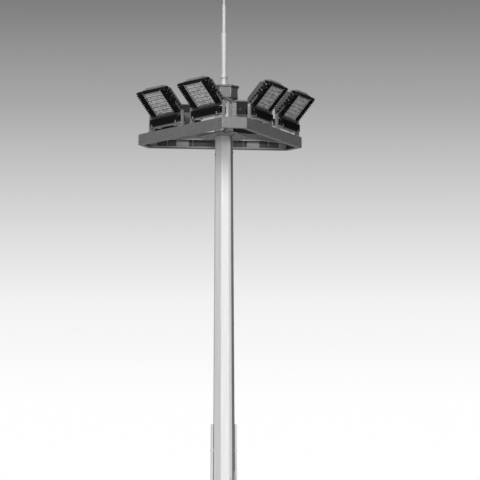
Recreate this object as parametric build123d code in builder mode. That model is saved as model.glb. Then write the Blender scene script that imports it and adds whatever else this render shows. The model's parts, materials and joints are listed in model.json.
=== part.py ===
"""High mast floodlight tower: an octagonal tapered steel mast on a bolted base flange,
with a triangular lamp ring, six tilting floodlights, an octagonal head drum and a finial.
Millimetres, Z up, origin at the centre of the underside of the base flange."""
from build123d import *
import os
from math import cos, radians, sin, sqrt, tan

os.makedirs("parts", exist_ok=True)

# Mast
ring_bottom = 14200.0
head_height = 505.0
shaft_wall = 5.0
top_flats = 196.0
shaft_taper = 0.010
splice_height = 7400.0
splice_overlap = 520.0

# Base
flange_diameter = 620.0
flange_thickness = 30.0
anchor_circle = 520.0
anchor_count = 8
anchor_hole = 30.0
gusset_height = 160.0
gusset_reach = 85.0
gusset_thickness = 10.0
gusset_foot = 25.0
gusset_head = 12.0

# Door near the foot of the mast
door_width = 120.0
door_height = 620.0
door_sill = 620.0
door_thickness = 6.0
door_frame_border = 26.0
door_frame_depth = 9.0
door_lip = 12.0

# Cable channels on the two sides of the mast
channel_width = 60.0
channel_depth = 30.0
channel_wall = 4.0
channel_gap = 10.0
channel_bottom = 260.0
channel_top = 10860.0

# Lamp ring, a triangle with its corners cut off
ring_side = 2220.0
corner_face = 280.0
beam_height = 125.0
beam_depth = 60.0
web_thickness = 6.0
beam_flange = 8.0

# Star frame between the mast and the ring
hub_plate_thickness = 12.0
hub_plate_rise = 50.0
hub_radius = 300.0
hub_face = 240.0
arm_width = 60.0
collar_wall = 14.0

# Front stay between the front corner and the head drum
stay_width = 54.0
stay_depth = 26.0
stay_height = 172.0
stay_plate = 8.0
stay_inset = 30.0

# Head drum and finial
drum_flats = 306.0
drum_height = 126.0
drum_wall = 8.0
drum_flange = 8.0
drum_rim = 14.0
lid_flats = 344.0
lid_thickness = 18.0
lid_chamfer = 5.0
socket_flats = 120.0
socket_height = 60.0
socket_flange = 12.0
socket_wall = 8.0
finial_diameter = 70.0
finial_length = 620.0
finial_mid_diameter = 48.0
finial_mid_length = 340.0
finial_tip_diameter = 26.0
finial_tip_length = 520.0
finial_point = 60.0

# Floodlights
lamp_spacing = 405.0
lamp_offset = 85.0
lamp_lean = 41.0
steep_lean = 58.0
pivot_rise = 170.0
pivot_inset = 10.0
body_width = 570.0
body_length = 340.0
body_start = 22.0
body_front = 12.0
body_depth = 30.0
fin_depth = 24.0
fin_pitch = 42.0
fin_thickness = 16.0
window_width = 322.0
window_length = 292.0
window_start = 34.0
window_recess = 6.0
back_width = 370.0
back_depth = 110.0
back_extra = 4.0
back_ledge = 12.0
back_fall = 85.0
back_slope = 45.0
lens_thickness = 5.0
bar_size = 22.0
bar_gap = 1.0
pin_diameter = 16.0
pin_clearance = 0.05
pin_end = 6.0
leg_offset = 300.0
leg_width = 42.0
leg_flange = 36.0
leg_thickness = 6.0
leg_head = 22.0
foot_length = 46.0
foot_width = 48.0
foot_thickness = 8.0
tray_rise = 48.0
tray_width = 70.0
tray_thickness = 8.0
driver_width = 530.0
driver_depth = 112.0
driver_height = 84.0
driver_corner = 6.0

shaft_top = ring_bottom + head_height
inradius = ring_side / (2.0 * sqrt(3.0))
corner_radius = 2.0 * inradius - corner_face * sqrt(3.0) / 2.0
beam_length = ring_side - 2.0 * corner_face
mitre = tan(radians(30.0))
ring_top = ring_bottom + beam_height
drum_bottom = shaft_top
drum_top = drum_bottom + drum_height
lid_top = drum_top + lid_thickness
pivot_height = ring_top + pivot_rise
pivot_radius = inradius - beam_depth + pivot_inset
plate_back = body_front - body_depth


def flats_at(height):
    """Outside width across flats of the shaft at a height."""
    return top_flats + (shaft_top - height) * shaft_taper


def octagon(flats):
    """Octagon with a flat facing front, drawn in the current sketch."""
    RegularPolygon(flats / 2.0, 8, major_radius=False, rotation=22.5)


def radial_plane(angle):
    """Upright plane through the axis: X points away from it, Y up."""
    turn = radians(angle)
    return Plane(
        origin=(0, 0, 0),
        x_dir=(cos(turn), sin(turn), 0),
        z_dir=(sin(turn), -cos(turn), 0),
    )


def front_facet_plane(height):
    """Plane on the front facet of the lower shaft: X to the right, Y up the facet."""
    return Plane(
        origin=(0, -flats_at(height) / 2.0, height),
        x_dir=(1, 0, 0),
        z_dir=(0, -1, shaft_taper / 2.0),
    )


def level_plane(angle, radius, height):
    """Level plane at a radius: X runs along the side, Y points away from the mast."""
    turn = radians(angle)
    return Plane(
        origin=(radius * cos(turn), radius * sin(turn), height),
        x_dir=(sin(turn), -cos(turn), 0),
        z_dir=(0, 0, 1),
    )


def mitred_points(length, depth):
    """Corners of a strip whose outer edge has the full length and whose ends are mitred."""
    half = length / 2.0
    inner = half - depth * mitre
    return [(-half, 0), (half, 0), (inner, -depth), (-inner, -depth)]


def finish(part, name):
    part.label = name
    export_step(part, f"parts/{name}.step")


with BuildPart() as base_flange:
    with BuildSketch():
        Circle(flange_diameter / 2.0)
        with PolarLocations(anchor_circle / 2.0, anchor_count):
            Circle(anchor_hole / 2.0, mode=Mode.SUBTRACT)
    extrude(amount=flange_thickness)
finish(base_flange.part, "base_flange")

# Lower shaft, an octagonal tube that narrows upwards, with the door opening in front
lower_top = splice_height + splice_overlap
lower_bottom_flats = flats_at(flange_thickness)
lower_top_flats = flats_at(lower_top)
with BuildPart() as lower_shaft:
    with BuildSketch(Plane.XY.offset(flange_thickness)):
        octagon(lower_bottom_flats)
    with BuildSketch(Plane.XY.offset(lower_top)):
        octagon(lower_top_flats)
    loft()
    with BuildSketch(Plane.XY.offset(flange_thickness)):
        octagon(lower_bottom_flats - 2.0 * shaft_wall)
    with BuildSketch(Plane.XY.offset(lower_top)):
        octagon(lower_top_flats - 2.0 * shaft_wall)
    loft(mode=Mode.SUBTRACT)
    with BuildSketch(front_facet_plane(door_sill + door_height / 2.0)):
        SlotOverall(door_height, door_width, rotation=90)
    extrude(amount=-4.0 * shaft_wall, mode=Mode.SUBTRACT)
finish(lower_shaft.part, "lower_shaft")

# Upper shaft, slipped over the top of the lower one
sleeve_growth = 2.0 * shaft_wall + 1.0
upper_bottom_flats = flats_at(splice_height) + sleeve_growth
with BuildPart() as upper_shaft:
    with BuildSketch(Plane.XY.offset(splice_height)):
        octagon(upper_bottom_flats)
    with BuildSketch(Plane.XY.offset(shaft_top)):
        octagon(top_flats)
    loft()
    with BuildSketch(Plane.XY.offset(splice_height)):
        octagon(upper_bottom_flats - 2.0 * shaft_wall)
    with BuildSketch(Plane.XY.offset(shaft_top)):
        octagon(top_flats - 2.0 * shaft_wall)
    loft(mode=Mode.SUBTRACT)
finish(upper_shaft.part, "upper_shaft")


def upper_flats_at(height):
    """Outside width across flats of the upper shaft at a height."""
    share = (height - splice_height) / (shaft_top - splice_height)
    return upper_bottom_flats + (top_flats - upper_bottom_flats) * share


# Gussets, upright ribs in the corners between the shaft and the flange
gusset_start = lower_bottom_flats / 2.0 * 0.97
gusset_turn = 180.0 / anchor_count
with BuildPart() as base_gussets:
    for index in range(anchor_count):
        rib_turn = gusset_turn + index * 360.0 / anchor_count
        with BuildSketch(radial_plane(rib_turn)):
            with BuildLine():
                Polyline(
                    (gusset_start, flange_thickness),
                    (gusset_start + gusset_reach, flange_thickness),
                    (gusset_start + gusset_reach, flange_thickness + gusset_foot),
                    (gusset_start + gusset_head, flange_thickness + gusset_height),
                    (gusset_start, flange_thickness + gusset_height),
                    close=True,
                )
            make_face()
        extrude(amount=gusset_thickness / 2.0, both=True)
    with BuildSketch(Plane.XY.offset(flange_thickness)):
        octagon(lower_bottom_flats)
    with BuildSketch(Plane.XY.offset(lower_top)):
        octagon(lower_top_flats)
    loft(mode=Mode.SUBTRACT)
finish(base_gussets.part, "base_gussets")

door_plane = front_facet_plane(door_sill + door_height / 2.0)
with BuildPart() as door_frame:
    with BuildSketch(door_plane):
        SlotOverall(
            door_height + 2.0 * door_frame_border,
            door_width + 2.0 * door_frame_border,
            rotation=90,
        )
        SlotOverall(door_height, door_width, rotation=90, mode=Mode.SUBTRACT)
    extrude(amount=door_frame_depth)
finish(door_frame.part, "door_frame")

with BuildPart() as door_panel:
    with BuildSketch(door_plane.offset(door_frame_depth)):
        SlotOverall(
            door_height + 2.0 * door_lip,
            door_width + 2.0 * door_lip,
            rotation=90,
        )
    extrude(amount=door_thickness)
finish(door_panel.part, "door_panel")

# Cable channels: one straight run on each shaft section on the left and right facets
channel_runs = (
    (channel_bottom, splice_height - channel_gap, flats_at),
    (splice_height + channel_gap, channel_top, upper_flats_at),
)
for side_name, side_sign in (("left", -1.0), ("right", 1.0)):
    with BuildPart() as cable_channel:
        for low, high, flats in channel_runs:
            for level in (low, high):
                middle = side_sign * (flats(level) + channel_depth) / 2.0
                with BuildSketch(Plane.XY.offset(level)):
                    with Locations((middle, 0)):
                        Rectangle(channel_depth, channel_width)
            loft()
            for level in (low, high):
                inner_depth = channel_depth - channel_wall
                middle = side_sign * (flats(level) + inner_depth) / 2.0
                with BuildSketch(Plane.XY.offset(level)):
                    with Locations((middle, 0)):
                        Rectangle(inner_depth, channel_width - 2.0 * channel_wall)
            loft(mode=Mode.SUBTRACT)
    finish(cable_channel.part, f"cable_channel_{side_name}")

# Lamp ring: three side beams and three short corner beams, channels with the web outside
side_angles = {"left": 210.0, "right": 330.0, "far": 90.0}
corner_angles = {"front": 270.0, "right": 30.0, "left": 150.0}


def ring_channel(angle, radius, length):
    """Channel with mitred ends, its web facing away from the mast."""
    with BuildPart() as channel:
        for level, depth, height in (
            (ring_bottom, web_thickness, beam_height),
            (ring_bottom, beam_depth, beam_flange),
            (ring_top - beam_flange, beam_depth, beam_flange),
        ):
            with BuildSketch(level_plane(angle, radius, level)):
                Polygon(*mitred_points(length, depth), align=None)
            extrude(amount=height)
    return channel.part


for name, angle in side_angles.items():
    finish(ring_channel(angle, inradius, beam_length), f"ring_beam_{name}")
for name, angle in corner_angles.items():
    finish(ring_channel(angle, corner_radius, corner_face), f"ring_corner_{name}")

# Star frame: hub plate under three arms, with an octagonal collar round the mast
hub_level = ring_bottom + hub_plate_rise
arm_level = hub_level + hub_plate_thickness
arm_height = ring_top - beam_flange - 1.0 - arm_level
with BuildPart() as star_frame:
    with BuildSketch(Plane.XY.offset(hub_level)):
        with BuildLine():
            hub_points = []
            for angle in corner_angles.values():
                for side in (-1.0, 1.0):
                    turn = radians(angle)
                    spread = side * hub_face / 2.0
                    hub_points.append(
                        (
                            hub_radius * cos(turn) - spread * sin(turn),
                            hub_radius * sin(turn) + spread * cos(turn),
                        )
                    )
            Polyline(*hub_points, close=True)
        make_face()
    extrude(amount=hub_plate_thickness)
    with BuildSketch(Plane.XY.offset(arm_level)):
        octagon(upper_flats_at(hub_level) + 2.0 * collar_wall)
    extrude(amount=arm_height)
    for angle in corner_angles.values():
        arm_outer = corner_radius - web_thickness
        with BuildSketch(level_plane(angle, arm_outer / 2.0, arm_level)):
            Rectangle(arm_width, arm_outer)
        extrude(amount=arm_height)
    for level in (hub_level, ring_top):
        with BuildSketch(Plane.XY.offset(level)):
            octagon(upper_flats_at(level))
    loft(mode=Mode.SUBTRACT)
finish(star_frame.part, "star_frame")

# Front stay: a post bolted on the front corner and a sloping plate up to the head drum
stay_radius = corner_radius - stay_inset
stay_top = ring_top + stay_height
drum_reach = drum_flats / 2.0
with BuildPart() as front_stay:
    with BuildSketch(level_plane(270.0, stay_radius, ring_top)):
        Rectangle(stay_width, stay_depth)
    extrude(amount=stay_height)
    with BuildSketch(Plane.YZ.offset(-stay_width / 2.0)):
        with BuildLine():
            Polyline(
                (-stay_radius - stay_depth / 2.0, stay_top),
                (-stay_radius - stay_depth / 2.0, stay_top - stay_plate),
                (-stay_radius, stay_top - 2.0 * stay_plate),
                (-drum_reach + 10.0, drum_bottom - stay_plate),
                (-drum_reach + 10.0, drum_bottom),
                (-drum_reach - 20.0, drum_bottom),
                close=True,
            )
        make_face()
    extrude(amount=stay_width)
finish(front_stay.part, "front_stay")

with BuildPart() as head_drum:
    with BuildSketch(Plane.XY.offset(drum_bottom)):
        octagon(drum_flats)
    extrude(amount=drum_height)
    with BuildSketch(Plane.XY.offset(drum_bottom)):
        octagon(drum_flats + drum_rim)
    extrude(amount=drum_flange)
    with BuildSketch(Plane.XY.offset(drum_bottom + drum_flange)):
        octagon(drum_flats - 2.0 * drum_wall)
    extrude(amount=drum_height - drum_flange, mode=Mode.SUBTRACT)
finish(head_drum.part, "head_drum")

with BuildPart() as drum_lid:
    with BuildSketch(Plane.XY.offset(drum_top)):
        octagon(lid_flats)
    extrude(amount=lid_thickness)
    chamfer(drum_lid.faces().sort_by(Axis.Z)[-1].edges(), lid_chamfer)
finish(drum_lid.part, "drum_lid")

with BuildPart() as finial_socket:
    with BuildSketch(Plane.XY.offset(lid_top)):
        octagon(socket_flats)
    extrude(amount=socket_flange)
    with BuildSketch(Plane.XY.offset(lid_top + socket_flange)):
        Circle(finial_diameter / 2.0 + socket_wall)
    extrude(amount=socket_height - socket_flange)
    with BuildSketch(Plane.XY.offset(lid_top + socket_flange)):
        Circle(finial_diameter / 2.0)
    extrude(amount=socket_height, mode=Mode.SUBTRACT)
finish(finial_socket.part, "finial_socket")

rod_bottom = lid_top + socket_flange
rod_mid = rod_bottom + finial_length
rod_tip = rod_mid + finial_mid_length
rod_end = rod_tip + finial_tip_length
with BuildPart() as finial_rod:
    with BuildSketch(Plane.XZ):
        with BuildLine():
            Polyline(
                (0, rod_bottom),
                (finial_diameter / 2.0, rod_bottom),
                (finial_diameter / 2.0, rod_mid),
                (finial_mid_diameter / 2.0, rod_mid),
                (finial_mid_diameter / 2.0 - 2.0, rod_tip),
                (finial_tip_diameter / 2.0, rod_tip),
                (finial_tip_diameter / 2.0, rod_end - finial_point),
                (2.0, rod_end),
                (0, rod_end),
                close=True,
            )
        make_face()
    revolve(axis=Axis.Z)
finish(finial_rod.part, "finial_rod")


def lean_plane(lamp, up_slope, out_of_face):
    """Plane of a lamp: X along its hinge, Y up the slope of its face, Z out of the face."""
    angle, shift, tilt = lamp
    turn = radians(angle)
    lean = radians(tilt)
    out = (cos(turn), sin(turn))
    along = (-sin(turn), cos(turn))
    reach = pivot_radius + up_slope * sin(lean) + out_of_face * cos(lean)
    rise = pivot_height + up_slope * cos(lean) - out_of_face * sin(lean)
    return Plane(
        origin=(
            out[0] * reach + along[0] * shift,
            out[1] * reach + along[1] * shift,
            rise,
        ),
        x_dir=(along[0], along[1], 0),
        z_dir=(out[0] * cos(lean), out[1] * cos(lean), -sin(lean)),
    )


def hinge_plane(lamp, along_hinge):
    """Plane square to the hinge: X up the slope of the face, Y out of the face."""
    face = lean_plane(lamp, 0.0, 0.0)
    return Plane(
        origin=face.origin + face.x_dir * along_hinge,
        x_dir=face.y_dir,
        z_dir=face.x_dir,
    )


def lamp_yoke(lamp):
    """Two angle-section legs on base plates, joined by the tray that carries the driver box."""
    angle, shift, tilt = lamp
    pin_hole = pin_diameter / 2.0 + pin_clearance
    flange_centre = leg_offset + (leg_flange - leg_thickness) / 2.0
    flange_reach = (leg_width - leg_thickness) / 2.0
    foot_centre = leg_offset + (foot_length - leg_thickness) / 2.0
    foot_reach = foot_width / 2.0 - pivot_inset
    with BuildPart() as yoke:
        with BuildSketch(level_plane(angle, pivot_radius, ring_top)):
            with Locations((-shift - leg_offset, 0), (-shift + leg_offset, 0)):
                Rectangle(leg_thickness, leg_width)
            with Locations(
                (-shift - flange_centre, flange_reach),
                (-shift + flange_centre, flange_reach),
            ):
                Rectangle(leg_flange, leg_thickness)
        extrude(amount=pivot_rise + leg_head)
        with BuildSketch(level_plane(angle, pivot_radius, ring_top)):
            with Locations(
                (-shift - foot_centre, foot_reach),
                (-shift + foot_centre, foot_reach),
            ):
                Rectangle(foot_length, foot_width)
        extrude(amount=foot_thickness)
        with BuildSketch(level_plane(angle, pivot_radius, ring_top + tray_rise)):
            with Locations((-shift, 0)):
                Rectangle(2.0 * leg_offset, tray_width)
        extrude(amount=tray_thickness)
        with BuildSketch(hinge_plane(lamp, -leg_offset - leg_thickness)):
            Circle(pin_hole)
        extrude(amount=2.0 * (leg_offset + leg_thickness), mode=Mode.SUBTRACT)
    return yoke.part


def lamp_driver(lamp):
    """Driver box that stands on the tray."""
    angle, shift, tilt = lamp
    driver_level = ring_top + tray_rise + tray_thickness
    with BuildPart() as driver:
        with BuildSketch(level_plane(angle, pivot_radius, driver_level)):
            with Locations((-shift, 0)):
                Rectangle(driver_width, driver_depth)
        extrude(amount=driver_height)
        chamfer(driver.edges().filter_by(Axis.Z), driver_corner)
    return driver.part


def lamp_body(lamp):
    """Face plate with the window recess, and cooling fins behind it on both sides."""
    middle = body_start + body_length / 2.0
    fin_width = (body_width - back_width) / 2.0
    fin_spacing = (body_width + back_width) / 2.0
    fin_count = int(body_length / fin_pitch)
    window_middle = window_start + window_length / 2.0
    with BuildPart() as body:
        with BuildSketch(lean_plane(lamp, middle, plate_back)):
            Rectangle(body_width, body_length)
        extrude(amount=body_depth)
        with BuildSketch(lean_plane(lamp, middle, plate_back)):
            with GridLocations(fin_spacing, fin_pitch, 2, fin_count):
                Rectangle(fin_width, fin_thickness)
        extrude(amount=-fin_depth)
        with BuildSketch(lean_plane(lamp, window_middle, body_front - window_recess)):
            Rectangle(window_width, window_length)
        extrude(amount=window_recess, mode=Mode.SUBTRACT)
    return body.part


def lamp_window(lamp):
    """Flat pane with the light sources behind it, set in the recess of the body."""
    window_middle = window_start + window_length / 2.0
    with BuildPart() as window:
        with BuildSketch(lean_plane(lamp, window_middle, body_front - window_recess)):
            Rectangle(window_width - 2.0, window_length - 2.0)
        extrude(amount=lens_thickness)
    return window.part


def lamp_back(lamp):
    """Gear housing behind the face plate, with the hinge bar whose pins turn in the legs."""
    bar_half = leg_offset - leg_thickness / 2.0 - bar_gap
    pin_half = leg_offset + leg_thickness / 2.0 + pin_end
    low = -bar_size / 2.0
    high = body_start + body_length + back_extra
    rear = plate_back - back_depth
    with BuildPart() as back:
        with BuildSketch(hinge_plane(lamp, -back_width / 2.0)):
            with BuildLine():
                Polyline(
                    (low, bar_size / 2.0),
                    (body_start, bar_size / 2.0),
                    (body_start, plate_back),
                    (high, plate_back),
                    (high, plate_back - back_ledge),
                    (high - back_fall, rear),
                    (low + back_slope, rear),
                    (low, rear + back_slope),
                    close=True,
                )
            make_face()
        extrude(amount=back_width)
        with BuildSketch(hinge_plane(lamp, -bar_half)):
            Rectangle(bar_size, bar_size)
        extrude(amount=2.0 * bar_half)
        with BuildSketch(hinge_plane(lamp, -pin_half)):
            Circle(pin_diameter / 2.0)
        extrude(amount=2.0 * pin_half)
    return back.part


for side, angle in side_angles.items():
    for index, sign in ((1, -1.0), (2, 1.0)):
        steep = side == "far" and index == 2
        tilt = steep_lean if steep else lamp_lean
        lamp = (angle, lamp_offset + sign * lamp_spacing, tilt)
        name = f"{side}_{index}"
        finish(lamp_yoke(lamp), f"yoke_{name}")
        finish(lamp_driver(lamp), f"driver_{name}")
        finish(lamp_body(lamp), f"lamp_body_{name}")
        finish(lamp_window(lamp), f"lamp_window_{name}")
        finish(lamp_back(lamp), f"lamp_back_{name}")
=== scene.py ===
"""Looks of the high mast floodlight tower: finishes, fasteners, welds, lamp faces and light,
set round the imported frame. Metres, Z up, in the frame of the model."""
import json

import bmesh
import bpy
import numpy as np
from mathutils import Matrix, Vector


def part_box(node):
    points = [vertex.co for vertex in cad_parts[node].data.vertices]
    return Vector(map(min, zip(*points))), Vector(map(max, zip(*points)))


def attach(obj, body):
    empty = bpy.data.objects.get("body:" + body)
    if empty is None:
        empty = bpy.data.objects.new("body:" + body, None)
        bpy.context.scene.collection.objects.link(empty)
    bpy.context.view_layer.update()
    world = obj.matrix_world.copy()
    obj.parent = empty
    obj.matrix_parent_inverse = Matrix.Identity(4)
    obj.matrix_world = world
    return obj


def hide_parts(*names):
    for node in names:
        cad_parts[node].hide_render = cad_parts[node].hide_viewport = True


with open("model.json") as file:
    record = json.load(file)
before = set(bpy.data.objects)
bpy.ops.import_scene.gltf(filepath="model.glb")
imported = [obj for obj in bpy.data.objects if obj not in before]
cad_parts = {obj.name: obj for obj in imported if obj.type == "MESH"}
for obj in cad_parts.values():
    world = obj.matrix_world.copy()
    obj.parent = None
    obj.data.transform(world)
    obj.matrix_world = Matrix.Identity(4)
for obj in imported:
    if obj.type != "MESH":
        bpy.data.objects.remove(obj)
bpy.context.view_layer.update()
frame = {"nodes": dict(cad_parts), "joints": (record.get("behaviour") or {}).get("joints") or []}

nodes = frame["nodes"]

# Mast: two octagonal steel shafts, folded from plate, welded along one facet and dipped in
# hot zinc. The upper shaft is slipped over the lower one. The zinc shows as a faint bloom of
# crystals, with pale runs where rain has washed down the facets.


def add(tree, kind, inputs=(), **settings):
    """Adds a node: each input is linked when it is a socket and set when it is a value."""
    made = tree.nodes.new(kind)
    for name, value in settings.items():
        setattr(made, name, value)
    for name, value in dict(inputs).items():
        if isinstance(value, bpy.types.NodeSocket):
            tree.links.new(value, made.inputs[name])
        else:
            made.inputs[name].default_value = value
    return made


def calculate(tree, operation, first, second):
    """Output of one step of arithmetic on two values."""
    return add(tree, "ShaderNodeMath", {0: first, 1: second}, operation=operation).outputs[0]


def mix_colours(tree, factor, first, second, blend="MIX"):
    """Output that mixes two colours by a factor."""
    inputs = {"Factor": factor, "A": first, "B": second}
    made = add(tree, "ShaderNodeMix", inputs, data_type="RGBA", blend_type=blend)
    return made.outputs["Result"]


def spread_between(tree, mask, low, high):
    """Output that carries a mask of 0 to 1 over to the range from low to high."""
    inputs = {"Value": mask, "To Min": low, "To Max": high}
    return add(tree, "ShaderNodeMapRange", inputs).outputs["Result"]


def smooth_rise(tree, value, low, high):
    """Output that rises smoothly from 0 to 1 while a value goes from low to high."""
    inputs = {"Value": value, "From Min": low, "From Max": high}
    made = add(tree, "ShaderNodeMapRange", inputs, interpolation_type="SMOOTHSTEP")
    return made.outputs["Result"]


def effect_group(name, numbers, outputs):
    """Starts a shader node group with float inputs and the named float outputs."""
    tree = bpy.data.node_groups.new(name, "ShaderNodeTree")
    for label, value in numbers.items():
        socket = tree.interface.new_socket(label, in_out="INPUT", socket_type="NodeSocketFloat")
        socket.default_value = value
    for label in outputs:
        tree.interface.new_socket(label, in_out="OUTPUT", socket_type="NodeSocketFloat")
    return tree, tree.nodes.new("NodeGroupInput").outputs, tree.nodes.new("NodeGroupOutput").inputs


def zinc_bloom_group():
    """Zinc crystals: the random value of each Voronoi cell, softened by broad noise."""
    sizes = {"Crystals": 45.0, "Clouds": 3.0}
    tree, given, result = effect_group("zinc_bloom", sizes, ["Shade", "Height"])
    place = add(tree, "ShaderNodeTexCoord").outputs["Object"]
    cells = add(tree, "ShaderNodeTexVoronoi", {"Vector": place, "Scale": given["Crystals"]})
    noise = {"Vector": place, "Scale": given["Clouds"], "Detail": 5.0}
    clouds = add(tree, "ShaderNodeTexNoise", noise)
    grey = add(tree, "ShaderNodeSeparateColor", {"Color": cells.outputs["Color"]})
    both = {"Factor": 0.62, "A": grey.outputs["Red"], "B": clouds.outputs["Fac"]}
    tree.links.new(add(tree, "ShaderNodeMix", both).outputs["Result"], result["Shade"])
    tree.links.new(cells.outputs["Distance"], result["Height"])
    return tree


def rain_streak_group():
    """Rain runs: noise stretched twenty times along Z, kept where it is strong."""
    tree, given, result = effect_group("rain_streaks", {"Width": 26.0, "Cover": 0.52}, ["Mask"])
    place = add(tree, "ShaderNodeTexCoord").outputs["Object"]
    drawn = add(tree, "ShaderNodeMapping", {"Vector": place, "Scale": (1.0, 1.0, 0.05)})
    noise = {"Vector": drawn.outputs["Vector"], "Scale": given["Width"], "Detail": 3.0}
    runs = add(tree, "ShaderNodeTexNoise", noise).outputs["Fac"]
    full = calculate(tree, "ADD", given["Cover"], 0.16)
    tree.links.new(smooth_rise(tree, runs, given["Cover"], full), result["Mask"])
    return tree


zinc_bloom = zinc_bloom_group()
rain_streaks = rain_streak_group()


def start_material(name):
    """Starts a finish: the material, its node tree and the inputs of its Principled shader."""
    material = bpy.data.materials.new(name)
    material.use_nodes = True
    tree = material.node_tree
    return material, tree, tree.nodes["Principled BSDF"].inputs


def grey_of(value):
    """Opaque neutral colour of one brightness."""
    return (value, value, value, 1.0)


def greys_about(shade, swing):
    """The two greys that lie a share of the shade below and above it."""
    return grey_of(shade * (1.0 - swing)), grey_of(shade * (1.0 + swing))


def galvanised(name, shade, swing, streak, metallic, roughness, crystals=45.0):
    """Zinc finish: the shade swings with the bloom, and rain streaks lighten it."""
    material, tree, finish = start_material(name)
    bloom = add(tree, "ShaderNodeGroup", {"Crystals": crystals}, node_tree=zinc_bloom).outputs
    runs = add(tree, "ShaderNodeGroup", node_tree=rain_streaks).outputs["Mask"]
    body_colour = mix_colours(tree, bloom["Shade"], *greys_about(shade, swing))
    streak_share = calculate(tree, "MULTIPLY", runs, streak)
    washed = grey_of(min(shade * 1.35, 0.92))
    tree.links.new(mix_colours(tree, streak_share, body_colour, washed), finish["Base Color"])
    gloss = spread_between(tree, bloom["Shade"], roughness - 0.07, roughness + 0.10)
    tree.links.new(gloss, finish["Roughness"])
    finish["Metallic"].default_value = metallic
    relief = {"Height": bloom["Height"], "Strength": 0.06, "Distance": 0.002}
    tree.links.new(add(tree, "ShaderNodeBump", relief).outputs["Normal"], finish["Normal"])
    return material


def dress(material, *names):
    """Puts a finish in the material slots of CAD nodes."""
    for name in names:
        for place in nodes[name].material_slots:
            place.material = material


def loft(loops):
    """Closed shell through a stack of loops: each point joins its neighbour round the loop and
    its twin on the next loop, and the first and last loops are capped."""
    loops = np.asarray(loops, float)
    count, size = loops.shape[:2]
    around = np.arange(size)
    after = np.roll(around, -1)
    level = np.arange(count - 1)[:, None] * size
    corners = (level + around, level + after, level + size + after, level + size + around)
    caps = [around[::-1].tolist(), (around + (count - 1) * size).tolist()]
    return loops.reshape(-1, 3), np.stack(corners, -1).reshape(-1, 4).tolist() + caps


def mesh_object(name, points, faces, material):
    """Object at the origin whose mesh has these points and faces."""
    mesh = bpy.data.meshes.new(name)
    mesh.from_pydata(points, [], faces)
    mesh.materials.append(material)
    made = bpy.data.objects.new(name, mesh)
    bpy.context.scene.collection.objects.link(made)
    return made


def piece(name, shells, body, material, smooth=False):
    """One object of many closed shells, its faces turned outwards, riding on a body."""
    points = np.concatenate([shell[0] for shell in shells])
    starts = np.cumsum([0] + [len(shell[0]) for shell in shells[:-1]]).tolist()
    faces = [
        [corner + start for corner in face]
        for shell, start in zip(shells, starts)
        for face in shell[1]
    ]
    made = mesh_object(name, points.tolist(), faces, material)
    work = bmesh.new()
    work.from_mesh(made.data)
    bmesh.ops.recalc_face_normals(work, faces=work.faces)
    work.to_mesh(made.data)
    work.free()
    polygons = made.data.polygons
    polygons.foreach_set("use_smooth", np.full(len(polygons), smooth))
    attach(made, body)
    return made


def unit(vector):
    """The vector at length one."""
    vector = np.asarray(vector, float)
    return vector / np.linalg.norm(vector)


def up_by(height):
    """Vector that rises by a height."""
    return np.array([0.0, 0.0, height])


def directions(degrees):
    """Level directions at a bearing: straight out of the mast, and along its facet."""
    turn = np.radians(degrees)
    cosine, sine = np.cos(turn), np.sin(turn)
    return np.array([cosine, sine, 0.0]), np.array([-sine, cosine, 0.0])


twelve_turns = np.arange(12) * np.pi / 6.0


def bolts(places, axis, size):
    """Hexagon heads on washers: at each place, loops of twelve points round the axis, whose
    radius follows the corners and flats of a hexagon on the head and is even on the washer."""
    axis = unit(axis)
    side = unit(np.cross(axis, (0.31, 0.2, 0.93)))
    other = np.cross(axis, side)
    spoke = np.cos(twelve_turns)[:, None] * side + np.sin(twelve_turns)[:, None] * other
    washer = np.full(12, 1.15)
    hexagon = np.where(np.arange(12) % 2, np.cos(np.pi / 6.0), 1.0)
    radius = np.stack([washer, washer, hexagon * 0.95, hexagon * 0.95, hexagon * 0.78])
    height = np.array([0.0, 0.22, 0.22, 0.85, 1.0])
    shape = (radius[:, :, None] * spoke + height[:, None, None] * axis) * size
    return [loft(shape + np.asarray(place, float)) for place in places]


shaft_zinc = galvanised("shaft_zinc", 0.74, 0.05, 0.30, 0.35, 0.46)
dress(shaft_zinc, "lower_shaft", "upper_shaft")
shaft_top_flats = 0.196
shaft_taper = 0.010
shaft_top_height = 14.705
splice_height = 7.4
sleeve_growth = 0.011


def shaft_half(height):
    """Distance from the axis to the facets at a height: it grows evenly downwards, and the
    upper shaft grows a little more, so that it clears the lower one at the splice."""
    height = np.asarray(height, float)
    plain = shaft_top_flats + (shaft_top_height - height) * shaft_taper
    share = (shaft_top_height - height) / (shaft_top_height - splice_height)
    return (plain + np.where(height > splice_height, sleeve_growth * share, 0.0)) / 2.0


def facet_loops(degrees, reach, across, height):
    """Shell on a facet: at each height, a loop of points with a reach out of the axis and a
    place across the facet."""
    out, along = directions(degrees)
    loops = reach[:, :, None] * out + across[:, :, None] * along
    loops[:, :, 2] += height[:, None]
    return loft(loops)


seam_bearing = 315.0
peak_share, peak_shift = 0.12, -0.020


def seam_half(low, high, side):
    """One half of the seam facet: a thin wedge from the facet's corner up to the peak where the
    folded edges of the plate meet, with the peak a set share of the shaft's size."""
    height = np.array([low, high])
    half = shaft_half(height)[:, None]
    foot = side * (half * np.tan(np.pi / 8.0) - 0.001)
    middle = np.full((2, 1), peak_shift)
    across = np.concatenate([foot, middle, middle], 1)
    reach = np.concatenate([half - 0.0006, half * (1.0 + peak_share), half - 0.0006], 1)
    return facet_loops(seam_bearing, reach, across, height)


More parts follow.
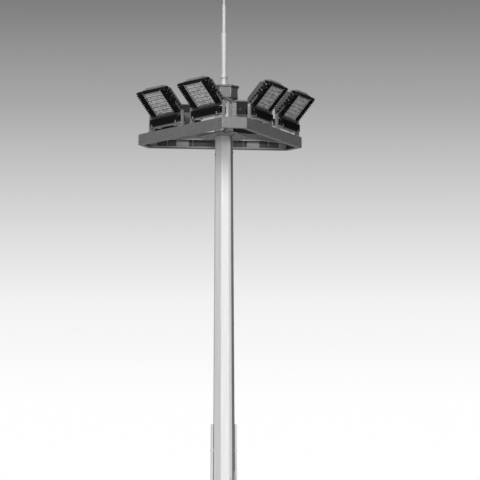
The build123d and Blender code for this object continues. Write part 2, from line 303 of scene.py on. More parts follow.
def seam_bead(low, high):
    """Weld bead up the peak of the seam: at each height a half-round loop with a slow ripple."""
    height = np.linspace(low, high, 90)
    bow = np.linspace(0.0, np.pi, 7)
    ripple = 1.0 + 0.10 * np.sin(height * 61.0)[:, None]
    across = peak_shift + np.cos(bow) * 0.005 * ripple
    peak = shaft_half(height)[:, None] * (1.0 + peak_share) - 0.001
    return facet_loops(seam_bearing, peak + np.sin(bow) * 0.0028 * ripple, across, height)


seam_spans = ((0.200, splice_height - 0.016), (splice_height + 0.002, 14.240))
# The seam facet's halves are lit and shaded copies of one zinc: the front half has a painted
# highlight and the rear half has painted shade, on top of the real tilt of the wedge.
seam_painted_lit_zinc = galvanised("seam_painted_lit_zinc", 0.86, 0.04, 0.20, 0.55, 0.36)
seam_painted_shade_zinc = galvanised("seam_painted_shade_zinc", 0.34, 0.06, 0.15, 0.30, 0.50)
for label, side, finish in (("front", -1.0, seam_painted_lit_zinc), ("rear", 1.0, seam_painted_shade_zinc)):
    halves = [seam_half(low, high, side) for low, high in seam_spans]
    piece("seam_facet_" + label, halves, "tower", finish)
weld_zinc = galvanised("weld_zinc", 0.62, 0.12, 0.10, 0.45, 0.40, 120.0)
seams = [seam_bead(0.20, splice_height - 0.02), seam_bead(splice_height + 0.02, 14.235)]
piece("shaft_seams", seams, "tower", weld_zinc, smooth=True)

small_steel = galvanised("small_steel", 0.30, 0.25, 0.0, 0.70, 0.38, 160.0)
mast_screws = []
for height, bearing, across in ((14.04, 180.0, 0.01), (14.065, 0.0, -0.020), (12.05, 0.0, 0.012)):
    out, along = directions(bearing)
    mast_screws += bolts([out * shaft_half(height) + along * across + up_by(height)], out, 0.009)
piece("mast_screws", mast_screws, "tower", small_steel)

# Slip joint: the upper shaft's lower rim is ground smooth and sealed with a bead against the
# lower shaft, so that no water runs into the overlap.
corner_turns = np.radians(22.5 + 45.0 * np.arange(8))


def round_loops(radius, height, turns):
    """Level loops about the mast's axis: one for each radius and height, at these bearings."""
    radius, height = np.asarray(radius, float)[:, None], np.asarray(height, float)[:, None]
    level = np.repeat(height, len(turns), 1)
    return np.stack([radius * np.cos(turns), radius * np.sin(turns), level], -1)


rim_height = np.array([7.386, 7.389, 7.396, 7.4])
rim_growth = np.array([0.0005, 0.0042, 0.0055, 0.0060])
rim_corner = (shaft_half(splice_height - 0.001) + rim_growth) / np.cos(np.pi / 8.0)
sealant = galvanised("joint_sealant", 0.42, 0.10, 0.0, 0.0, 0.62, 20.0)
rim = loft(round_loops(rim_corner, rim_height, corner_turns))
piece("slip_joint_bead", [rim], "tower", sealant)

# Base: a round flange with eight anchor bolts and eight welded gussets, all dipped with the
# shaft. Each anchor has a washer, a nut and a lock nut on the threaded end of the bolt.
base_zinc = galvanised("base_zinc", 0.56, 0.10, 0.15, 0.35, 0.52)
dress(base_zinc, "base_flange", "base_gussets")
anchor_circle, flange_top = 0.520, 0.030
anchor_turns = np.radians(45.0 * np.arange(8))
anchor_places = round_loops([anchor_circle / 2.0], [flange_top], anchor_turns)[0]
anchors = bolts(anchor_places, (0, 0, 1), 0.024)
anchors += bolts(anchor_places + up_by(0.0242), (0, 0, 1), 0.021)
thread_radius, thread_length = 0.0125, 0.034
thread_level = np.linspace(0.0, thread_length, 25)
thread_wave = thread_radius * (1.0 - 0.06 * (np.arange(25) % 2))
thread_end = round_loops(thread_wave, thread_level, twelve_turns)
anchors += [loft(thread_end + place + up_by(0.040)) for place in anchor_places]
piece("anchor_nuts", anchors, "tower", small_steel)


def bead(start, end, normal, width, rise, ripples=0):
    """Weld bead between two points: half-round loops along it, swelled by a ripple."""
    start, end = np.asarray(start, float), np.asarray(end, float)
    share = np.linspace(0.0, 1.0, max(3, ripples * 4))[:, None, None]
    normal = unit(normal)
    across = np.cross(unit(end - start), normal)
    bow = np.linspace(0.0, np.pi, 6)[:, None]
    section = np.cos(bow) * across * width / 2.0 + np.sin(bow) * normal * rise
    swell = 1.0 + 0.12 * np.sin(share * ripples * 2.0 * np.pi)
    return loft(start + share * (end - start) + section * swell)


base_corner = shaft_half(flange_top) / np.cos(np.pi / 8.0)
base_corners = round_loops([base_corner], [flange_top + 0.001], corner_turns)[0]
base_welds = [
    bead(a, b, unit((a + b) * (1, 1, 0)) + up_by(1.0), 0.011, 0.006, 9)
    for a, b in zip(base_corners, np.roll(base_corners, -1, 0))
]
piece("base_welds", base_welds, "tower", weld_zinc, smooth=True)

# Door: a flush steel cover over the opening at the foot, in a welded frame. Two key locks and
# four screws close it.
dress(base_zinc, "door_frame")
door_zinc = galvanised("door_zinc", 0.60, 0.06, 0.35, 0.35, 0.48)
dress(door_zinc, "door_panel")
door_low, door_high = (np.array(corner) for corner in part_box("door_panel"))
door_half = (door_high[2] - door_low[2]) / 2.0


def door_point(across, up):
    """Point on the outer face of the door, which leans back with the facet as it rises."""
    lean = (up + door_half) * shaft_taper / 2.0
    return np.array([across, door_low[1] + lean, door_low[2] + door_half + up])


screw_places = [door_point(x, z) for x in (-0.052, 0.052) for z in (-0.22, 0.22)]
door_fittings = bolts(screw_places, (0, -1, 0.005), 0.006)
lock_turn = np.arange(16) * np.pi / 8.0
lock_radius = np.array([0.017, 0.017, 0.015, 0.009, 0.0085])[:, None]
lock_depth = np.array([0.0, 0.003, 0.0045, 0.0045, 0.0015])[:, None]
lock_level = np.repeat(-lock_depth, 16, 1)
lock = np.stack([lock_radius * np.cos(lock_turn), lock_level, lock_radius * np.sin(lock_turn)], -1)
door_fittings += [loft(lock + door_point(0.0, up)) for up in (0.16, -0.16)]
piece("door_fittings", door_fittings, "tower", small_steel)

# Cable channels: folded covers up both sides of the mast, held to it by straps, with a near-black
# strip of painted shade down each edge. A flat cover with a slanting top edge closes the cable
# entry.
channel_zinc = galvanised("channel_zinc", 0.66, 0.06, 0.35, 0.30, 0.50)
dress(channel_zinc, "cable_channel_left", "cable_channel_right")
channel_bearings = (180.0, 0.0)
strap_heights = np.concatenate([np.arange(0.6, 7.3, 1.1), np.arange(7.7, 10.8, 0.95)])
strap_lift = np.array([0.0008, 0.0026, 0.0026, 0.0318, 0.0318, 0.0026, 0.0026, 0.0008])
strap_across = np.array([-0.043, -0.043, -0.0318, -0.0318, 0.0318, 0.0318, 0.043, 0.043])


def strap(bearing, height):
    """Strap over a channel: a hat-shaped loop of eight points, drawn a short way up the mast."""
    reach = np.tile(shaft_half(height) + strap_lift, (2, 1))
    levels = height + np.array([-0.016, 0.016])
    return facet_loops(bearing, reach, np.tile(strap_across, (2, 1)), levels)


def corner_shade_strip(bearing, edge, span):
    """Painted shade in the corner between a channel's wall and the mast: a small near-black
    triangle of three points drawn up the facet."""
    levels = np.array(span)
    reach = shaft_half(levels)[:, None] + np.array([-0.0005, 0.0075, -0.0005])
    across = np.tile(edge * np.array([0.0295, 0.0295, 0.0375]), (2, 1))
    return facet_loops(bearing, reach, across, levels)


corner_shade_strips = [
    corner_shade_strip(bearing, edge, span)
    for bearing in channel_bearings
    for edge in (-1.0, 1.0)
    for span in ((0.262, 7.388), (7.412, 10.858))
]
# Near-black strips that stand for the shade in the recess beside each channel: painted shade.
corner_shade_black = galvanised("corner_shade_black", 0.05, 0.10, 0.0, 0.0, 0.70, 20.0)
piece("channel_corner_shade", corner_shade_strips, "tower", corner_shade_black)
straps = [strap(bearing, height) for bearing in channel_bearings for height in strap_heights]
piece("channel_straps", straps, "tower", door_zinc)

cover_low, cover_top, cover_half = 9.20, 10.31, 0.047
cover_slant = 0.075
cover_out, cover_along = directions(315.0)


def cover_point(across, height, lift):
    """Point over the facet with the cable entry, lifted off it."""
    reach = cover_out * (shaft_half(height) + lift)
    return reach + cover_along * across + up_by(height)


cover_loops = []
for lift, inset in ((0.0, 0.0), (0.0045, 0.0), (0.0055, 0.0015)):
    half, low, top = cover_half - inset, cover_low + inset, cover_top - inset
    corners = ((-half, low), (half, low), (half, top), (-half, top - cover_slant))
    cover_loops.append([cover_point(across, height, lift) for across, height in corners])
cover_shells = [loft(cover_loops)]
for height in (cover_low + 0.05, (cover_low + cover_top) / 2.0, cover_top - 0.10):
    for across in (-0.034, 0.034):
        cover_shells += bolts([cover_point(across, height, 0.0053)], cover_out, 0.0045)
piece("entry_cover", cover_shells, "tower", channel_zinc)

# Lamp ring: three side channels and three short corner channels, mitred, welded and bolted
# with plates inside the web. The zinc has dulled to a darker grey, and rain has left pale runs.


def inward_shade_group():
    """Inward faces: how much a face looks back at the mast, as a mask for painted shade."""
    tree, given, result = effect_group("painted_inner_shade", {"From": 0.15, "To": 0.75}, ["Mask"])
    place = add(tree, "ShaderNodeTexCoord").outputs["Object"]
    inward = {0: place, 1: (-1.0, -1.0, 0.0)}
    level = add(tree, "ShaderNodeVectorMath", inward, operation="MULTIPLY").outputs["Vector"]
    inward = add(tree, "ShaderNodeVectorMath", {0: level}, operation="NORMALIZE")
    facing = add(tree, "ShaderNodeNewGeometry").outputs["Normal"]
    both = {0: inward.outputs["Vector"], 1: facing}
    share = add(tree, "ShaderNodeVectorMath", both, operation="DOT_PRODUCT").outputs["Value"]
    tree.links.new(smooth_rise(tree, share, given["From"], given["To"]), result["Mask"])
    return tree


painted_inner_shade = inward_shade_group()


def paint_inner_shade(material, depth):
    """Darkens a zinc finish by a factor on the faces that look back at the mast: painted shade."""
    tree = material.node_tree
    colour = tree.nodes["Principled BSDF"].inputs["Base Color"]
    clean = colour.links[0].from_socket
    mask = add(tree, "ShaderNodeGroup", node_tree=painted_inner_shade).outputs["Mask"]
    shade_tint = mix_colours(tree, mask, grey_of(1.0), grey_of(depth))
    tree.links.new(mix_colours(tree, 1.0, clean, shade_tint, "MULTIPLY"), colour)


frame_zinc = galvanised("frame_zinc", 0.22, 0.16, 0.25, 0.30, 0.52, 38.0)
# The ring's faces that look in towards the mast are darkened to 0.42: painted shade.
paint_inner_shade(frame_zinc, 0.42)
side_bearings = {"left": 210.0, "right": 330.0, "far": 90.0}
corner_bearings = {"front": 270.0, "right": 30.0, "left": 150.0}
dress(frame_zinc, *("ring_beam_" + side for side in side_bearings))
dress(frame_zinc, *("ring_corner_" + corner for corner in corner_bearings))
ring_bottom, ring_top = 14.200, 14.325
ring_side, corner_face = 2.220, 0.280
beam_depth, web_thickness = 0.060, 0.006
inradius = ring_side / (2.0 * np.sqrt(3.0))
corner_radius = 2.0 * inradius - corner_face * np.sqrt(3.0) / 2.0
beam_half = ring_side / 2.0 - corner_face
web_middle = (ring_bottom + ring_top) / 2.0
bolt_rises = (-0.028, 0.028)


def ring_point(bearing, radius, along, height):
    """Point at a radius from the mast, so far along the side, at a height."""
    out, sideways = directions(bearing)
    return out * radius + sideways * along + up_by(height)


def plate(middle, sideways, upward, half_width, half_height, thickness, edge=0.0015):
    """Flat plate: its outline rises to a slightly smaller one, so that the edge is broken."""
    sideways, upward = unit(sideways), unit(upward)
    normal = np.cross(sideways, upward)
    signs = np.array([[-1, -1], [1, -1], [1, 1], [-1, 1]], float)
    loops = []
    for rise, inset in ((0.0, 0.0), (thickness - edge, 0.0), (thickness, edge)):
        across = signs[:, :1] * (half_width - inset) * sideways
        up = signs[:, 1:] * (half_height - inset) * upward
        loops.append(np.asarray(middle, float) + across + up + normal * rise)
    return loft(loops)


def web_plate(bearing, along, half_width, half_height, thickness):
    """Plate on the inner face of a side's web."""
    middle = ring_point(bearing, inradius - web_thickness, along, web_middle)
    sideways = -directions(bearing)[1]
    return plate(middle, sideways, (0, 0, 1), half_width, half_height, thickness)


ring_bolts, ring_plates = [], []
for bearing in side_bearings.values():
    out = directions(bearing)[0]
    for end in (-1.0, 1.0):
        for inset in (0.030, 0.075):
            for rise in bolt_rises:
                place = ring_point(bearing, inradius, end * (beam_half - inset), web_middle + rise)
                ring_bolts += bolts([place], out, 0.0075)
        ring_plates.append(web_plate(bearing, end * (beam_half - 0.060), 0.045, 0.046, 0.005))
for bearing in corner_bearings.values():
    out = directions(bearing)[0]
    for end in (-1.0, 1.0):
        for rise in bolt_rises:
            along = end * (corner_face / 2.0 - 0.035)
            place = ring_point(bearing, corner_radius, along, web_middle + rise)
            ring_bolts += bolts([place], out, 0.0075)
piece("ring_bolts", ring_bolts, "tower", small_steel)

plate_zinc = galvanised("plate_zinc", 0.40, 0.12, 0.30, 0.30, 0.50)
far_bearing = side_bearings["far"]
ring_plates += [web_plate(far_bearing, along, 0.075, 0.040, 0.006) for along in (-0.42, 0.42)]
piece("splice_plates", ring_plates, "tower", plate_zinc)


def ring_block(bearing, section, start, stop):
    """Block inside a side: a section of reach inward and level pairs, drawn along the side."""
    return loft(
        [
            [ring_point(bearing, inradius - reach, along, level) for reach, level in section]
            for along in (start, stop)
        ]
    )


lips = []
lip_half = beam_half - beam_depth / np.sqrt(3.0)
lip_levels = (
    (ring_bottom + 0.0075, ring_bottom + 0.022),
    (ring_top - 0.022, ring_top - 0.0075),
)
low, high = ring_bottom + 0.007, ring_top - 0.007
stiffener = ((0.005, low), (0.056, low), (0.022, web_middle), (0.056, high), (0.005, high))
for bearing in side_bearings.values():
    for low, high in lip_levels:
        section = ((0.0595, low), (0.0560, low), (0.0560, high), (0.0595, high))
        lips.append(ring_block(bearing, section, -lip_half, lip_half))
    for along in np.linspace(-0.60, 0.60, 5):
        lips.append(ring_block(bearing, stiffener, along - 0.003, along + 0.003))
piece("ring_lips", lips, "tower", plate_zinc)

ring_welds = []
for bearing in side_bearings.values():
    for end in (-1.0, 1.0):
        low = ring_point(bearing, inradius, end * beam_half, ring_bottom + 0.004)
        high = ring_point(bearing, inradius, end * beam_half, ring_top - 0.004)
        ring_welds.append(bead(low, high, directions(bearing)[0], 0.008, 0.0025, 8))
piece("ring_welds", ring_welds, "tower", weld_zinc, smooth=True)

# Star frame: a hub plate under three box arms that tie the ring to a collar round the mast.
# Each arm is bolted through the plate from below.
star_zinc = galvanised("star_zinc", 0.24, 0.15, 0.10, 0.30, 0.55, 38.0)
dress(star_zinc, "star_frame")
hub_level = ring_bottom + 0.050
hub_bolts = []
for bearing in corner_bearings.values():
    for radius in (0.185, 0.265):
        for across in (-0.085, 0.085):
            hub_bolts += bolts([ring_point(bearing, radius, across, hub_level)], (0, 0, -1), 0.011)
piece("hub_bolts", hub_bolts, "tower", small_steel)

# Front stay: a post bolted on the front corner, and a sloping plate from it up to the drum.
# The post stands on two small foot plates.
stay_zinc = galvanised("stay_zinc", 0.20, 0.12, 0.20, 0.35, 0.45)
dress(stay_zinc, "front_stay")
stay_bearing = corner_bearings["front"]
stay_radius, stay_half = corner_radius - 0.030, 0.013
foot_thickness = 0.006
stay_bolts = []
for height in (14.357, 14.412, 14.458):
    place = ring_point(stay_bearing, stay_radius + stay_half, 0.0, height)
    stay_bolts += bolts([place], (0, -1, 0), 0.0085)
for along in (-0.039, 0.039):
    place = ring_point(stay_bearing, stay_radius, along, ring_top + foot_thickness)
    stay_bolts += bolts([place], (0, 0, 1), 0.0075)
piece("stay_bolts", stay_bolts, "tower", small_steel)
stay_feet = []
for along in (-0.0465, 0.0465):
    middle = ring_point(stay_bearing, stay_radius - 0.002, along, ring_top)
    stay_feet.append(plate(middle, (1, 0, 0), (0, 1, 0), 0.019, 0.024, foot_thickness))
piece("stay_feet", stay_feet, "tower", stay_zinc)

# Head drum: an octagonal box folded from plate with a bottom flange and a lid, closed by
# screws round its rim. The corners are welded.
drum_zinc = galvanised("drum_zinc", 0.165, 0.12, 0.25, 0.45, 0.36)
dress(drum_zinc, "head_drum", "drum_lid")
drum_bottom, drum_top = 14.705, 14.831
drum_half, lid_half, lid_thickness = 0.153, 0.172, 0.018
drum_screws = []
for bearing in 45.0 * np.arange(8):
    out, along = directions(bearing)
    for across in (-0.040, 0.040):
        middle = along * across
        high = out * drum_half + middle + up_by(drum_top - 0.022)
        low = out * drum_half + middle + up_by(drum_bottom + 0.030)
        top = out * (lid_half - 0.022) + middle + up_by(drum_top + lid_thickness)
        drum_screws += bolts([high, low], out, 0.0055) + bolts([top], (0, 0, 1), 0.0055)
piece("drum_screws", drum_screws, "tower", small_steel)
drum_corner = (drum_half + 0.0004) / np.cos(np.pi / 8.0)
edge_levels = [drum_bottom + 0.010, drum_top - 0.002]
edge_feet, edge_heads = round_loops([drum_corner, drum_corner], edge_levels, corner_turns)
drum_edges = [
    bead(foot, head, foot * (1, 1, 0), 0.007, 0.0022) for foot, head in zip(edge_feet, edge_heads)
]
piece("drum_edges", drum_edges, "tower", weld_zinc, smooth=True)

# Finial: a stepped rod in a bolted socket, pale satin aluminium. A clamp ring with one screw
# grips the foot of the rod, and a thin collar covers each step.
finial_satin = galvanised("finial_satin", 0.68, 0.03, 0.20, 0.25, 0.38, 30.0)
dress(finial_satin, "finial_rod", "finial_socket")


def torus_shell(grid):
    """Closed ring shell: a grid of points that joins up both round the ring and round its
    section."""
    count, size = grid.shape[:2]
    row = np.arange(count)[:, None]
    column = np.arange(size)[None, :]
    after_row, after = (row + 1) % count, (column + 1) % size
    here, there = row * size, after_row * size
    quads = np.stack([here + column, here + after, there + after, there + column], -1)
    return grid.reshape(-1, 3), quads.reshape(-1, 4).tolist()


def collar(foot, *profile):
    """Ring on the rod: radius and rise pairs, spun round the mast's axis."""
    radius, rise = np.transpose(profile)
    return torus_shell(round_loops(radius, foot + rise, np.arange(24) * np.pi / 12.0))


clamp_foot, rod_step_one, rod_step_two = 14.950, 15.481, 15.821
clamp_low = ((0.0352, 0.0), (0.046, 0.0), (0.0475, 0.003))
clamp_high = ((0.0475, 0.037), (0.046, 0.040), (0.0352, 0.040))
collars = [
    collar(clamp_foot, *clamp_low, *clamp_high),
    collar(rod_step_one, (0.0242, 0.001), (0.034, 0.001), (0.034, 0.008), (0.0242, 0.016)),
    collar(rod_step_two, (0.0132, 0.001), (0.0215, 0.001), (0.0215, 0.006), (0.0132, 0.014)),
]
piece("finial_collars", collars, "tower", finial_satin)
finial_screws = bolts([(0.018, -0.0475, 14.970)], (0, -1, 0), 0.008)
socket_screws = [(x, y, 14.861) for x in (-0.042, 0.042) for y in (-0.042, 0.042)]
finial_screws += bolts(socket_screws, (0, 0, 1), 0.006)
piece("finial_screws", finial_screws, "tower", small_steel)

# Floodlights: six heads on tilting hinges. A black finned plate carries the light board behind
# its pane, and a grey gear housing stands on its back. Everything here turns with the head.
common_lean, steep_lean = 41.0, 58.0
lamp_names = ("left_1", "left_2", "right_1", "right_2", "far_1", "far_2")
lamp_leans = {name: steep_lean if name == "far_2" else common_lean for name in lamp_names}
plate_front, plate_back, fin_rear = 0.012, -0.018, -0.042
body_half, leg_face = 0.285, 0.3032
back_rear, back_half, back_end = -0.128, 0.185, 0.366
window_half, window_low, window_high = 0.160, 0.035, 0.325


def coated(name, shade, roughness, specular, wear):
    """Powder coat: a fine orange-peel bump, with a chalky bloom that lightens broad patches."""
    material, tree, finish = start_material(name)
    place = add(tree, "ShaderNodeTexCoord").outputs["Object"]
    broad = {"Vector": place, "Scale": 7.0, "Detail": 6.0, "Roughness": 0.6}
    patch = add(tree, "ShaderNodeTexNoise", broad).outputs["Fac"]
    fine = {"Vector": place, "Scale": 400.0, "Detail": 2.0}
    peel = add(tree, "ShaderNodeTexNoise", fine).outputs["Fac"]
    runs = add(tree, "ShaderNodeGroup", node_tree=rain_streaks).outputs["Mask"]
    chalk = mix_colours(tree, patch, *greys_about(shade, wear))
    dust_share = calculate(tree, "MULTIPLY", runs, wear * 0.5)
    dusty = mix_colours(tree, dust_share, chalk, grey_of(shade * 1.6 + 0.01))
    tree.links.new(dusty, finish["Base Color"])
    gloss = spread_between(tree, patch, roughness - 0.08, roughness + 0.12)
    tree.links.new(gloss, finish["Roughness"])
    finish["Specular IOR Level"].default_value = specular
    relief = {"Height": peel, "Strength": 0.10, "Distance": 0.001}
    tree.links.new(add(tree, "ShaderNodeBump", relief).outputs["Normal"], finish["Normal"])
    return material


lamp_coat = coated("lamp_coat", 0.006, 0.50, 0.14, 0.35)
housing_coat = coated("housing_coat", 0.115, 0.55, 0.40, 0.16)
# The housing's top cover is painted lighter than the housing: painted light for the sky falling on
# top.
painted_top_light = coated("painted_top_light", 0.30, 0.50, 0.40, 0.16)
rear_coat = coated("rear_coat", 0.030, 0.50, 0.30, 0.20)
bright_steel = galvanised("bright_steel", 0.72, 0.10, 0.0, 0.75, 0.26, 160.0)


def grey_ramp(tree, mask, *stops):
    """Output of a ramp over a mask, from place and brightness pairs."""
    made = add(tree, "ShaderNodeValToRGB", {"Fac": mask})
    colours = made.color_ramp.elements
    colours[0].position, colours[1].position = stops[0][0], stops[-1][0]
    colours[0].color, colours[1].color = grey_of(stops[0][1]), grey_of(stops[-1][1])
    for place, value in stops[1:-1]:
        colours.new(place).color = grey_of(value)
    return made.outputs["Color"]


def light_board_material():
    """Light board: the lens mask of the mesh lifts each lens above its dull tray, and a random
    grey on each lens is a painted reflection that stands in for bits of sky in the pane."""
    material, tree, finish = start_material("light_board")
    mask = add(tree, "ShaderNodeAttribute", attribute_name="lens").outputs["Fac"]
    painted_reflection = add(tree, "ShaderNodeAttribute", attribute_name="painted_reflection").outputs["Fac"]
    lens_grey = grey_ramp(tree, mask, (0.0, 0.065), (0.30, 0.52), (0.9, 0.92))
    # A random grey for each lens multiplies its colour: painted reflection of sky in the pane.
    cast = grey_ramp(tree, painted_reflection, (0.0, 0.42), (0.45, 0.82), (1.0, 1.0))
    tree.links.new(mix_colours(tree, 1.0, lens_grey, cast, "MULTIPLY"), finish["Base Color"])
    tree.links.new(spread_between(tree, mask, 0.45, 0.12), finish["Roughness"])
    finish["Coat Weight"].default_value = 0.7
    finish["Coat Roughness"].default_value = 0.10
    return material


light_board = light_board_material()


def lamp_axes(name):
    """Pivot and directions of a lamp: along its hinge, up the slope of its face, out of it."""
    joint = next(joint for joint in frame["joints"] if joint["name"] == "tilt_" + name)
    along = np.array(joint["axis"])
    outward = np.array([along[1], -along[0], 0.0])
    lean = np.radians(lamp_leans[name])
    slope = outward * np.sin(lean) + up_by(np.cos(lean))
    face = outward * np.cos(lean) - up_by(np.sin(lean))
    return np.array(joint["pos_m"]), along, slope, face


def lamp_points(axes, across, up, out):
    """Points of a lamp from distances along its hinge, up its slope and out of its face."""
    pivot, along, slope, face = axes
    across, up, out = np.broadcast_arrays(np.asarray(across, float), up, out)
    return pivot + across[..., None] * along + up[..., None] * slope + out[..., None] * face


tray_pitch = (window_high - window_low) / 6.0
lens_pitch = window_half / 6.0
lens_reach, lens_rise = 0.0112, 0.0042
board_level = plate_front - 0.0055


def lens_field(across, up):
    """Lens height, 0 to 1: domes on a square pitch, two rows in each of six trays, with a gap
    between the trays and down the middle."""
    in_tray = np.abs((up - window_low) / tray_pitch % 1.0 - 0.5)
    in_half = np.abs(np.abs(across) / window_half - 0.5)
    dome_up = ((up - window_low) / (tray_pitch / 2.0) % 1.0 - 0.5) * tray_pitch / 2.0
    dome_across = (across / lens_pitch % 1.0 - 0.5) * lens_pitch
    dome = np.sqrt(np.clip(1.0 - (dome_up**2 + dome_across**2) / lens_reach**2, 0.0, 1.0))
    return np.where((in_tray < 0.445) & (in_half < 0.475), 0.30 + 0.70 * dome, 0.0)


def lens_reflection_tones(across, up, seed):
    """Painted reflection of each vertex, 0 to 1: one random number for the lens it lies on."""
    drawn = np.random.default_rng(seed).random((13, 13))
    row = np.clip((up - window_low) / (tray_pitch / 2.0), 0, 12).astype(int)
    column = np.clip((across + window_half) / lens_pitch, 0, 12).astype(int)
    return drawn[row, column]


def window_sheet(axes, seed):
    """Light board: a grid over the window lifted by the lens height, with its rim turned down
    to a flat back that closes it. Gives the shell with its lens heights and painted reflection
    tones."""
    across_line = np.pad(np.linspace(-window_half, window_half, 133), 1, "edge")
    up_line = np.pad(np.linspace(window_low, window_high, 121), 1, "edge")
    across, up = np.meshgrid(across_line, up_line)
    lens = lens_field(across, up)
    out = board_level + lens * lens_rise
    out[0], out[-1], out[:, 0], out[:, -1] = (board_level - 0.0004,) * 4
    index = np.arange(across.size).reshape(across.shape)
    quads = np.stack([index[:-1, :-1], index[:-1, 1:], index[1:, 1:], index[1:, :-1]], -1)
    rim = np.concatenate([index[0], index[1:, -1], index[-1, -2::-1], index[-2:0:-1, 0]])
    faces = quads.reshape(-1, 4).tolist() + [rim[::-1].tolist()]
    shell = (lamp_points(axes, across, up, out).reshape(-1, 3), faces)
    return shell, {"lens": lens, "painted_reflection": lens_reflection_tones(across, up, seed)}


def rounded_outline(half_across, low, high, radius, steps=5):
    """Rounded rectangle: a quarter circle of points at each corner, joined by straight runs."""
    quarter = np.linspace(0.0, np.pi / 2.0, steps)
    turn = (np.arange(4)[:, None] * np.pi / 2.0 + quarter).reshape(-1)
    side = np.repeat([1.0, -1.0, -1.0, 1.0], steps)
    rise = np.repeat([1.0, 1.0, -1.0, -1.0], steps)
    across = side * (half_across - radius) + radius * np.cos(turn)
    up = (low + high) / 2.0 + rise * ((high - low) / 2.0 - radius) + radius * np.sin(turn)
    return across, up


bezel_section = (
    (0.0015, 0.0060),
    (0.0015, 0.0130),
    (0.0030, 0.0155),
    (0.0085, 0.0155),
    (0.0100, 0.0135),
    (0.0100, 0.0060),
)


def bezel_ring(axes):
    """Frame round the window: its rounded outline grows and rises by each step of the section."""
    rings = []
    for grow, out in bezel_section:
        low, high, radius = window_low - grow, window_high + grow, 0.006 + grow
        across, up = rounded_outline(window_half + grow, low, high, radius)
        rings.append(lamp_points(axes, across, up, out))
    return torus_shell(np.stack(rings, 1))


def slab(axes, across_span, up, out):
    """Plate or block of a lamp: an outline in the plane square to the hinge, drawn along it."""
    return loft([lamp_points(axes, across, up, out) for across in sorted(across_span)])


def bar(axes, across_span, up_span, out_span, edge=0.001):
    """Bar square to the lamp: an eight-cornered section drawn along the hinge direction."""
    (low, high), (rear, front) = sorted(up_span), sorted(out_span)
    up = np.array([low + edge, high - edge, high, high, high - edge, low + edge, low, low])
    out = np.array([rear, rear, rear + edge, front - edge, front, front, front - edge, rear + edge])
    return slab(axes, across_span, up, out)


flank_up = np.array([0.022, 0.366, 0.366, 0.281, 0.034, -0.011, -0.011, 0.000])
flank_out = np.array([-0.018, -0.018, -0.030, -0.128, -0.128, -0.083, 0.000, 0.006])
flank_middle = (0.165, -0.066)


def flank_rim(axes, side):
    """Folded rim of the housing's side wall: its outline and a smaller copy, joined as a band."""
    rings = []
    for share, lift in ((1.0, -0.001), (1.0, 0.0030), (0.95, 0.0030), (0.95, -0.001)):
        up = flank_middle[0] + (flank_up - flank_middle[0]) * share
        out = flank_middle[1] + (flank_out - flank_middle[1]) * share
        rings.append(lamp_points(axes, side * (back_half + lift), up, out))
    return torus_shell(np.stack(rings, 1))


fin_pitch, fin_count = 0.042, 8
blade_foot = np.array([-0.0052, 0.0052, 0.0024, -0.0024])
blade_root = plate_front - 0.001
blade_stops = ((0.176, 0.0150), (0.186, 0.0235), (body_half + 0.0045, 0.0235))
blade_places = np.arange(0.048, 0.350, 0.028)
rear_fin_half, rear_fin_thickness = 0.013, 0.0026


def fin_comb(axes, side):
    """Cooling fins of one side: tapered blades over the face, whose crests rise from the window
    outwards, and pairs of thin blades behind the plate."""
    blades = []
    for up in blade_places:
        loops = [
            lamp_points(axes, side * reach, up + blade_foot, [blade_root, blade_root, crest, crest])
            for reach, crest in blade_stops
        ]
        blades.append(loft(loops))
    for middle in 0.045 + fin_pitch * np.arange(fin_count):
        for up in (middle - rear_fin_half, middle + rear_fin_half):
            span = (up - rear_fin_thickness / 2.0, up + rear_fin_thickness / 2.0)
            reach = (side * (back_half + 0.005), side * (body_half - 0.002))
            depth = (fin_rear + 0.003, plate_back + 0.001)
            blades.append(bar(axes, reach, span, depth, 0.0004))
    return blades


# The housing's top falls from front to rear as the plate leans, so that it is level as aimed.
fall_up, fall_out = np.array([0.3600, 0.2900]), np.array([-0.0370, -0.1177])
lift_up, lift_out = 0.756, -0.655
cover_rise = 0.0030
cap_steps = ((0.006, 0.0, 0.019), (0.001, 0.017, 0.0225))


def fall_block(axes, half, span_up, span_out, low, high):
    """Block on the housing's top: a stretch of the fall, lifted square to it from low to high."""
    up = np.concatenate([span_up + lift_up * low, span_up[::-1] + lift_up * high])
    out = np.concatenate([span_out + lift_out * low, span_out[::-1] + lift_out * high])
    return slab(axes, (-half, half), up, out)


edge_screws = (0.06, 0.145, 0.230, 0.315)
face_screws = (0.034, 0.118, 0.202, 0.286, 0.342)
pane_clip = ((-0.150, 0.150), (0.0105, 0.0145), (0.0105, 0.0150))
rear_lid_half, lid_span, rib_half = 0.173, (0.040, 0.274), 0.145
lid_ribs, flank_ribs = np.arange(0.062, 0.26, 0.038), np.arange(0.06, 0.30, 0.048)
top_cover_half, edge_half, cap_half = 0.172, 0.176, 0.166
lid_screws, gland_places, gland_up = (0.052, 0.157, 0.262), (-0.06, 0.06), 0.120
arm_up = np.array([0.026, 0.030, 0.135, 0.150, 0.146, 0.060])
arm_out = np.array([-0.016, 0.004, 0.006, -0.002, -0.014, -0.017])
gland_section = ((0.011, 0.0), (0.011, 0.008), (0.0085, 0.009), (0.0085, 0.016), (0.006, 0.018))
gland_turn = np.arange(16)[:, None] * np.pi / 8.0
sides = (-1.0, 1.0)

